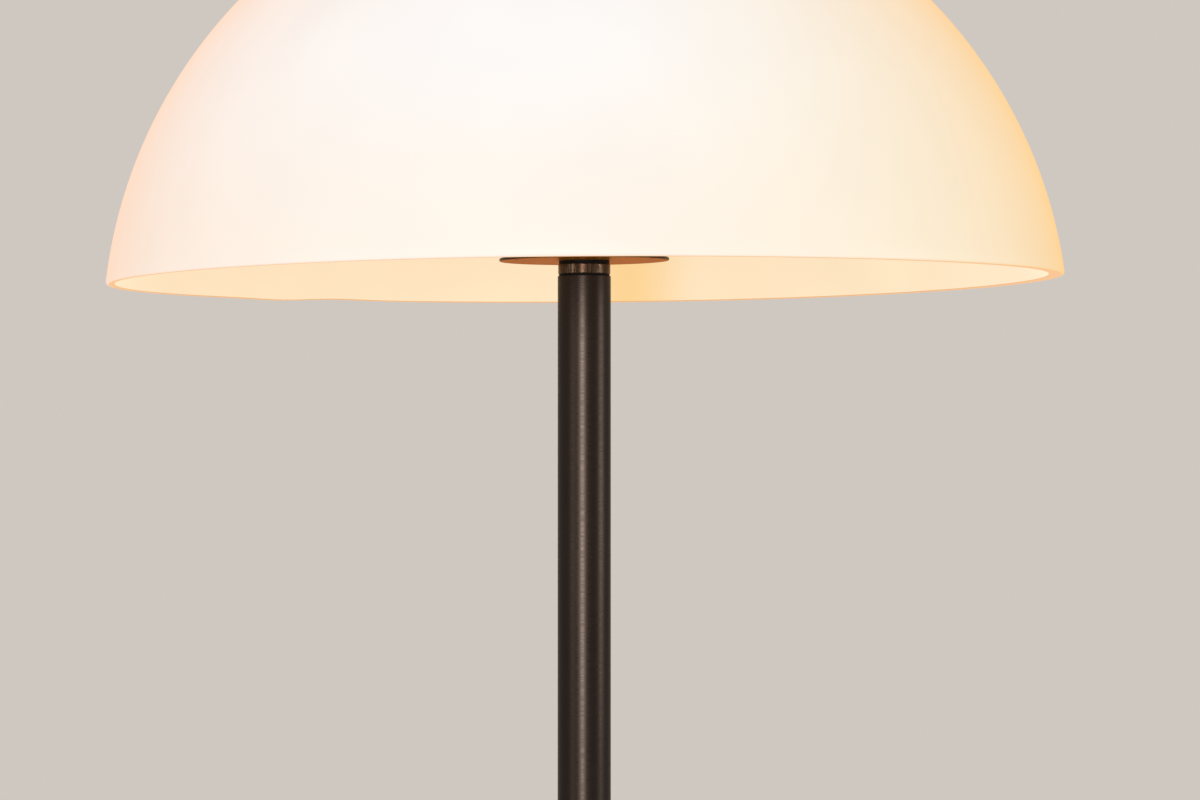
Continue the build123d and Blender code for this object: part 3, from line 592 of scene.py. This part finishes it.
def lamp_thread_rows(low, high):
    """Rows of the M10 thread that lamps are screwed together with."""
    return thread_rows(LAMP_THREAD_RADIUS, LAMP_THREAD_DEPTH, LAMP_THREAD_PITCH, low, high,
                       LAMP_THREAD_SIDES, LAMP_THREAD_LEVELS)


def hollow_thread(name, node, low, high, material):
    """A hollow lamp thread: the cut thread outside and the plain bore inside."""
    bore = [round_row(LAMP_THREAD_BORE, height, LAMP_THREAD_SIDES) for height in (high, low)]
    new_piece(name, lamp_thread_rows(low, high) + bore, True, node, [material])


def lay_core(name, node, route, material):
    """One insulated core as a smooth curve along its route."""
    line = bpy.data.curves.new(name, "CURVE")
    line.dimensions = "3D"
    line.bevel_depth = CORE_RADIUS
    line.bevel_resolution = 5
    line.use_fill_caps = True
    spline = line.splines.new("NURBS")
    spline.points.add(len(route) - 1)
    for point, (x, y, z) in zip(spline.points, route):
        point.co = (x * MM, y * MM, z * MM, 1)
    spline.order_u = 3
    spline.use_endpoint_u = True
    spline.resolution_u = 10
    line.materials.append(material)
    core = bpy.data.objects.new(name, line)
    bpy.context.scene.collection.objects.link(core)
    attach(core, "root")
    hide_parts(node)


def paint(material, *nodes):
    """Gives the solids of these nodes, which keep their own shape, one material."""
    for node in nodes:
        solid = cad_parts[node]
        solid.data.materials.clear()
        solid.data.materials.append(material)


def ease(share):
    """A share from 0 to 1 that starts and ends gently."""
    return share * share * (3 - 2 * share)


# ---- Pieces --------------------------------------------------------------------------------------------

class LampOperator:
    """What the lamp's operators share."""
    bl_options = {"REGISTER", "UNDO"}


class LAMP_OT_base(LampOperator, Operator):
    """Finish the weighted base: feet, plate, weight, cover, inlet and clamp"""
    bl_idname = "lamp.base"
    bl_label = "Base"

    def execute(self, context):
        lacquer = colour_of(context.scene.lamp_metal.lacquer)
        zinc = zinc_plated_steel()
        paint(moulded_rubber(), "rubber_feet")
        paint(powder_coated_plate(), "base_plate")
        paint(cast_iron_primed(), "base_weight")
        paint(lacquered_black_bronze("black_bronze_lacquer_on_spun_steel", 0.32, 0.25, lacquer), "base_cover")
        paint(moulded_plastic("polyamide_black_moulded", "#191817", "#0F0E0E", 0.45, 0.25), "cord_inlet_bush")
        paint(zinc, "base_washer", "base_locknut", "base_plate_screws")
        low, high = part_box("base_thread")
        hollow_thread("base_thread_cut", "base_thread", low.z, high.z, zinc)
        return {"FINISHED"}


class LAMP_OT_wiring(LampOperator, Operator):
    """Lay the cores and finish the terminal strip and the earth tag"""
    bl_idname = "lamp.wiring"
    bl_label = "Wiring"

    def execute(self, context):
        paint(moulded_plastic("polyamide_natural_moulded", "#E9E6DE", "#DBD7CC", 0.42, 0.2), "terminal_block")
        paint(pressed_metal("brass_turned", "#C9A65C", "#8F7038", 0.25, 3), "terminal_clamps")
        paint(pressed_metal("tinned_brass_pressed", "#C8C4BA", "#8F8B80", 0.3, 4), "earth_tag")
        brown = extruded_core("pvc_core_brown", "#6B3B1E")
        lay_core("live_core", "live_lead", LIVE_ROUTE, brown)
        blue = extruded_core("pvc_core_blue", "#2E6DB4")
        lay_core("neutral_core", "neutral_lead", NEUTRAL_ROUTE, blue)
        striped = extruded_core("pvc_core_green_yellow", "#2E8B3A", "#E5D02E")
        lay_core("earth_core", "earth_lead", EARTH_ROUTE, striped)
        return {"FINISHED"}


class LAMP_OT_stem(LampOperator, Operator):
    """Finish the tube and its plugs"""
    bl_idname = "lamp.stem"
    bl_label = "Stem"

    def execute(self, context):
        lacquer = colour_of(context.scene.lamp_metal.lacquer)
        paint(lacquered_black_bronze("black_bronze_lacquer_on_brushed_tube", 0.3, 0.2, lacquer, spread=0.35),
              "stem_tube")
        paint(pressed_metal("steel_turned_oiled", "#A9A7A3", "#6E6A64", 0.3, 5),
              "stem_foot_plug", "stem_head_plug")
        return {"FINISHED"}


class LAMP_OT_head(LampOperator, Operator):
    """Finish the rings over the tube, the disc and the thread through them"""
    bl_idname = "lamp.head"
    bl_label = "Rings and disc"

    disc_lean = (math.radians(0.2), math.radians(-0.44), 0)

    def execute(self, context):
        metal = context.scene.lamp_metal
        paint(pressed_black_fibre(), "spacer_ring", "gasket_ring")
        paint(worn_collar_bronze(colour_of(metal.collar)), "collar")
        disc = disc_with_painted_glow(colour_of(metal.lacquer))
        # The rods pull the thin disc a little down at the front and up at the right
        low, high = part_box("gallery_disc")
        centre = (low + high) / 2
        lean = Euler(self.disc_lean).to_matrix().to_4x4()
        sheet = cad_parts["gallery_disc"].data.copy()
        sheet.transform(Matrix.Translation(centre) @ lean @ Matrix.Translation(-centre))
        sheet.materials.clear()
        sheet.materials.append(disc)
        leaning = bpy.data.objects.new("gallery_disc_leaning", sheet)
        context.scene.collection.objects.link(leaning)
        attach(leaning, "root")
        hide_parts("gallery_disc")
        low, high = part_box("head_thread")
        hollow_thread("head_thread_cut", "head_thread", low.z, high.z, zinc_plated_steel())
        return {"FINISHED"}


class LAMP_OT_carrier(LampOperator, Operator):
    """Finish the rods, the hub, the stud and the seat of the glass"""
    bl_idname = "lamp.carrier"
    bl_label = "Shade carrier"

    def execute(self, context):
        paint(drawn_nickelled_wire(), "carrier_rod_1", "carrier_rod_2", "carrier_rod_3")
        zinc = zinc_plated_steel()
        paint(zinc, "carrier_hub", "seat_plate")
        paint(clear_silicone(), "shade_gasket_lower")
        low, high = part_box("hub_stud")
        rows = [[(0, 0, low.z)]] + lamp_thread_rows(low.z, high.z) + [[(0, 0, high.z)]]
        new_piece("hub_stud_cut", rows, False, "hub_stud", [zinc])
        return {"FINISHED"}


class LAMP_OT_glass(LampOperator, Operator):
    """Blow the glass dome, with its leaning rim and uneven wall, and lay the washer on its crown"""
    bl_idname = "lamp.glass"
    bl_label = "Glass dome"

    directions = 224
    rings = 60
    corner_steps = 4
    etched_slot, polished_slot, ground_slot = 0, 1, 2       # outside, inside and rim
    sink = 0.5 * MM                         # keeps the leaning rim inside the solid's box
    edge_share = 0.4                        # how much of the wall the rim's rounding may take
    ripple_size = 90 * MM
    saw_waves = (3, 1.1, 0.25 * MM)         # how many go round the rim, where they start, and their height
    saw_step = (math.radians(130), math.radians(7), 1.3 * MM)       # its direction, width and height

    def execute(self, context):
        glass = context.scene.lamp_glass
        low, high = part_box("glass_shade")
        depth = high.z - low.z
        # The outside is part of a sphere through the mouth and the edge of the crown's flat, and its centre
        # lies this far below the rim
        drop = (MOUTH_RADIUS**2 - CROWN_FLAT_RADIUS**2 - depth**2) / (2 * depth)
        self.centre = low.z - drop
        self.curve = math.hypot(MOUTH_RADIUS, drop)
        self.rim = low.z
        self.crown = high.z
        turns = [2 * math.pi * step / self.directions for step in range(self.directions)]
        rows = [list(row) for row in zip(*(self.meridian(glass, turn) for turn in turns))]
        slots = [self.etched_slot] * (self.rings + self.corner_steps)
        slots += [self.ground_slot] * (1 + self.corner_steps // 2)
        slots += [self.polished_slot] * (len(rows) - len(slots))
        finishes = [opal_glass_outside(glass), opal_glass_inside(glass), opal_glass_rim(glass)]
        dome = new_piece("glass_dome", rows, True, "glass_shade", finishes, slots, "shade")
        paint(clear_silicone(), "shade_gasket_upper")
        return {"FINISHED"}

    def meridian(self, glass, direction):
        """Points of the glass cut in one direction: down the outside, round the rim and up the inside."""
        gain = glass.wall_gain + glass.wall_lean * math.cos(direction)
        wall = GLASS_WALL + gain
        edge = min(RIM_ROUND, self.edge_share * wall)
        edge_height = self.rim + edge - self.centre
        outer_end = self.curve - self.sink
        inner_end = outer_end - wall
        inner_curve = self.curve - GLASS_WALL
        outside = math.sqrt(outer_end**2 - edge_height**2)
        inside = math.sqrt(inner_end**2 - edge_height**2)
        shares = [ring / self.rings for ring in range(self.rings + 1)]
        points = self.arc(self.curve, self.sink, CROWN_FLAT_RADIUS, edge_height / outer_end, shares)
        for step in range(1, self.corner_steps + 1):
            turn = math.pi / 2 * step / self.corner_steps
            points.append((outside - edge + edge * math.cos(turn), edge_height - edge * math.sin(turn), 1))
        for step in range(self.corner_steps):
            turn = math.pi / 2 * (1 - step / self.corner_steps)
            points.append((inside + edge - edge * math.cos(turn), edge_height - edge * math.sin(turn), 1))
        points += self.arc(inner_curve, self.sink + gain, CROWN_FLAT_INSIDE, edge_height / inner_end,
                           [1 - share for share in shares])
        crown_low = self.crown - GLASS_WALL - self.centre
        crown_top = self.crown - self.centre
        points.append((CROWN_FLAT_INSIDE, crown_low, 0))
        points.append((CROWN_HOLE_RADIUS, crown_low, 0))
        points.append((CROWN_HOLE_RADIUS, crown_top, 0))
        return [self.settled(glass, direction, *point) for point in points]

    def arc(self, curve, shrink, flat_radius, rim_sine, shares):
        """Points of one skin of the glass, at these shares of its way from crown to rim, where it shrinks."""
        points = []
        start = math.acos(flat_radius / curve)
        end = math.asin(rim_sine)
        for share in shares:
            radius = curve - shrink * ease(share)
            elevation = start + (end - start) * share
            points.append((radius * math.cos(elevation), radius * math.sin(elevation), share))
        return points

    def settled(self, glass, direction, radius, height, share):
        """One point with the rim's lean, the blown ripple and the saw's marks, in the lamp's frame."""
        give = ease(share)
        lean = glass.tilt * give
        x = radius * math.cos(direction)
        y = radius * math.sin(direction)
        x, height = x * math.cos(lean) - height * math.sin(lean), height * math.cos(lean) + x * math.sin(lean)
        x += glass.sag * give
        ripple = glass.ripple * noise.noise(Vector((x, y, height)) / self.ripple_size) * give
        grow = 1 - abs(ripple) / self.curve
        waves, start, wave_height = self.saw_waves
        sawn = wave_height * math.sin(waves * direction + start)
        # The saw left a short step in the rim at the back left
        place, width, step_height = self.saw_step
        step = (direction - place) / width
        sawn -= step_height * step * math.exp(-step * step)
        # The saw reached only the rim, so its marks die away fast above it
        return (x * grow, y * grow, self.centre + height + sawn * share**6)


class LAMP_OT_cap(LampOperator, Operator):
    """Finish the washer and the domed nut on the crown"""
    bl_idname = "lamp.cap"
    bl_label = "Cap nut"

    def execute(self, context):
        lacquer = colour_of(context.scene.lamp_metal.lacquer)
        paint(lacquered_black_bronze("black_bronze_lacquer_on_turned_nut", 0.24, 0.2, lacquer),
              "cap_washer", "cap_nut")
        return {"FINISHED"}


class LAMP_OT_lampholder(LampOperator, Operator):
    """Finish the lampholder and roll its socket's thread"""
    bl_idname = "lamp.lampholder"
    bl_label = "Lampholder"

    thread_depth = 0.3 * MM     # how deep the thread is rolled into the socket
    wall = 0.3 * MM             # thickness of the socket's brass

    def execute(self, context):
        phenolic = moulded_plastic("phenolic_black_moulded", "#141210", "#0B0A09", 0.22, 0.1)
        brass = pressed_metal("brass_pressed", "#CBA961", "#94733A", 0.22, 4)
        paint(phenolic, "holder_cap", "holder_shell")
        paint(glazed_porcelain(), "holder_insert")
        paint(brass, "holder_terminals", "centre_contact")
        low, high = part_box("socket_shell")
        outer = high.x
        floor = low.z + self.wall
        outside, inside = (
            thread_rows(radius, self.thread_depth, BULB_THREAD_PITCH, foot, high.z,
                        BULB_THREAD_SIDES, SOCKET_THREAD_LEVELS)
            for radius, foot in ((outer, low.z), (outer - self.wall, floor)))
        flange = [round_row(SOCKET_FLANGE_BORE, height, BULB_THREAD_SIDES) for height in (floor, low.z)]
        new_piece("socket_thread", outside + inside[::-1] + flange, True, "socket_shell", [brass])
        return {"FINISHED"}


class LAMP_OT_bulb(LampOperator, Operator):
    """Finish the bulb and roll the thread of its screw cap"""
    bl_idname = "lamp.bulb"
    bl_label = "Bulb"

    foot_slope = 1.7 * MM       # height between the insulator and the first turn of the thread
    plain_band = 3 * MM         # height of the cap above its last turn
    shoulder = 0.6 * MM         # height of the slope between that turn and the band

    def execute(self, context):
        paint(soldered_tip(), "bulb_tip")
        paint(moulded_plastic("vitrite_black_fused", "#0A0A0B", "#050506", 0.1, 0.05), "bulb_insulator")
        paint(moulded_plastic("pbt_white_moulded", "#F1EFE9", "#E6E3DA", 0.38, 0.25), "bulb_housing")
        paint(led_board_finish(), "led_board")
        paint(lit_opal_plastic(), "bulb_globe")
        low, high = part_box("bulb_screw_cap")
        outer = high.x
        last_turn = high.z - self.plain_band
        rolled = thread_rows(outer, BULB_THREAD_DEPTH, BULB_THREAD_PITCH, low.z + self.foot_slope, last_turn,
                             BULB_THREAD_SIDES, BULB_THREAD_LEVELS)
        foot = round_row(BULB_INSULATOR_RADIUS, low.z, BULB_THREAD_SIDES)
        band = [round_row(outer, height, BULB_THREAD_SIDES) for height in (last_turn + self.shoulder, high.z)]
        rows = [[(0, 0, low.z)], foot] + rolled + band + [[(0, 0, high.z)]]
        nickel = pressed_metal("nickelled_brass_rolled", "#CFCAC0", "#9C968A", 0.2, 5)
        new_piece("bulb_cap_thread", rows, False, "bulb_screw_cap", [nickel], body="bulb")
        return {"FINISHED"}


class LAMP_OT_studio(LampOperator, Operator):
    """Set up the pale floor, the soft lights and the camera"""
    bl_idname = "lamp.studio"
    bl_label = "Studio"

    sensor_width = 36             # millimetres, which the lens setting goes with
    floor_radius = 5.0
    floor_fade = (0.7, 2.0)       # distances from the lamp between which the floor melts into the background
    floor_lift = 0.3              # how much of its own colour the floor shows before any light falls on it
    # Each light's name, place, width and height, the setting that holds its power, and colour
    lights = (
        # The main light left of the camera draws the soft line of light down the tube
        ("key_light", (-0.33, -2.3, 1.13), (0.52, 0.8), "key_power", "#FFFAF6"),
        # The one at the right draws the second, fainter line near the tube's edge
        ("side_light", (2.14, -0.46, 1.13), (0.5, 0.8), "side_power", "#FFF6F0"),
        # A dim one far to the left gives the line its soft shoulder
        ("left_light", (-1.8, -1.5, 1.13), (0.9, 0.8), "left_power", "#FFF6F0"),
    )

    def execute(self, context):
        studio = context.scene.lamp_studio
        self.lay_floor(context, studio)
        self.light_world(context, studio)
        for name, place, size, power, colour in self.lights:
            self.hang_light(context, name, place, size, getattr(studio, power), colour)
        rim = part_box("glass_shade")[0].z
        camera = bpy.data.objects.new("studio_camera", bpy.data.cameras.new("studio_camera"))
        camera.data.lens = studio.lens
        camera.data.sensor_width = self.sensor_width
        camera.location = (studio.camera_side, -studio.camera_distance, rim - studio.camera_below_rim)
        camera.rotation_euler = Euler((math.pi / 2 + studio.camera_pitch, 0, 0))
        context.scene.collection.objects.link(camera)
        context.scene.camera = camera
        context.scene.view_settings.view_transform = "Standard"
        return {"FINISHED"}

    def hang_light(self, context, name, place, size, power, colour):
        """One rectangular soft light, turned to the lamp's axis."""
        lamp = bpy.data.lights.new(name, "AREA")
        lamp.shape = "RECTANGLE"
        lamp.size, lamp.size_y = size
        lamp.energy = power
        lamp.color = linear(colour)[:3]
        hung = bpy.data.objects.new(name, lamp)
        hung.location = place
        hung.rotation_euler = Vector((-place[0], -place[1], 0)).to_track_quat("-Z", "Z").to_euler()
        context.scene.collection.objects.link(hung)

    def lay_floor(self, context, studio):
        """A round pale floor whose far part melts into the background."""
        building = bmesh.new()
        bmesh.ops.create_circle(building, cap_ends=True, segments=FLOOR_SIDES, radius=self.floor_radius)
        mesh = bpy.data.meshes.new("floor")
        building.to_mesh(mesh)
        building.free()
        material, add, where = start_material("seamless_paper_matt")
        pale = colour_of(studio.floor)
        fibre = add("TexNoise", {"Vector": where, "Scale": per_mm(3), "Detail": 4.0})
        bump = add("Bump", {"Height": fibre, "Strength": 0.05, "Distance": 0.1 * MM})
        paper = add("BsdfPrincipled", {"Base Color": pale, "Roughness": 0.9, "Normal": bump,
                                       "Specular IOR Level": 0.1})
        lift = add("Emission", {"Color": pale, "Strength": self.floor_lift})
        near = add("AddShader", {0: paper, 1: lift})
        plain = add("Emission", {"Color": pale, "Strength": 1.0})
        reach = add("VectorMath", {0: where}, operation="LENGTH")
        fade = add("MapRange", {"Value": reach, "From Min": self.floor_fade[0],
                                "From Max": self.floor_fade[1]}, interpolation_type="SMOOTHSTEP")
        shown = add("MixShader", {0: fade, 1: near, 2: plain})
        # Only what the camera or a reflection sees glows, so the floor doesn't light the lamp
        mixed = add("MixShader", {0: self.seen(add), 1: paper, 2: shown})
        add("OutputMaterial", {"Surface": mixed})
        mesh.materials.append(material)
        floor = bpy.data.objects.new("floor", mesh)
        context.scene.collection.objects.link(floor)

    def seen(self, add):
        """1 for rays from the camera, a reflection or through glass, and 0 for rays that gather light."""
        path = add("LightPath").outputs
        either = add("Math", {0: path["Is Camera Ray"], 1: path["Is Glossy Ray"]}, operation="MAXIMUM")
        return add("Math", {0: either, 1: path["Is Transmission Ray"]}, operation="MAXIMUM")

    def light_world(self, context, studio):
        """Even fill light, with the floor's colour where the camera or a reflection sees the background."""
        world = bpy.data.worlds.new("studio_world")
        world.use_nodes = True
        world.node_tree.nodes.clear()
        add = partial(add_node, world.node_tree)
        fill = add("Background", {"Color": linear("#FFFFFF"), "Strength": studio.sky})
        shown = add("Background", {"Color": colour_of(studio.floor), "Strength": 1.0})
        mixed = add("MixShader", {0: self.seen(add), 1: fill, 2: shown})
        add("OutputWorld", {"Surface": mixed})
        context.scene.world = world


OPERATORS = (LAMP_OT_base, LAMP_OT_wiring, LAMP_OT_stem, LAMP_OT_head, LAMP_OT_carrier, LAMP_OT_glass,
             LAMP_OT_cap, LAMP_OT_lampholder, LAMP_OT_bulb, LAMP_OT_studio)


class LAMP_PT_parts(Panel):
    """Lists the lamp's pieces and their settings"""
    bl_idname = "LAMP_PT_parts"
    bl_label = "Mushroom floor lamp"
    bl_space_type = "VIEW_3D"
    bl_region_type = "UI"
    bl_category = "Lamp"

    def draw(self, context):
        for operator in OPERATORS:
            self.layout.operator(operator.bl_idname)
        scene = context.scene
        for group in (scene.lamp_glass, scene.lamp_metal, scene.lamp_studio):
            box = self.layout.box()
            for setting in group.__annotations__:
                box.prop(group, setting)


SETTINGS = (LampGlassSettings, LampMetalSettings, LampStudioSettings)


def register():
    for made in SETTINGS + OPERATORS + (LAMP_PT_parts,):
        bpy.utils.register_class(made)
    bpy.types.Scene.lamp_glass = PointerProperty(type=LampGlassSettings)
    bpy.types.Scene.lamp_metal = PointerProperty(type=LampMetalSettings)
    bpy.types.Scene.lamp_studio = PointerProperty(type=LampStudioSettings)


def unregister():
    del bpy.types.Scene.lamp_glass
    del bpy.types.Scene.lamp_metal
    del bpy.types.Scene.lamp_studio
    for made in reversed(SETTINGS + OPERATORS + (LAMP_PT_parts,)):
        bpy.utils.unregister_class(made)


def main():
    """Builds the whole lamp and its studio."""
    register()
    bpy.ops.lamp.base()
    bpy.ops.lamp.wiring()
    bpy.ops.lamp.stem()
    bpy.ops.lamp.head()
    bpy.ops.lamp.carrier()
    bpy.ops.lamp.glass()
    bpy.ops.lamp.cap()
    bpy.ops.lamp.lampholder()
    bpy.ops.lamp.bulb()
    bpy.ops.lamp.studio()
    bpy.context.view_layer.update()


if __name__ == "__main__":
    main()
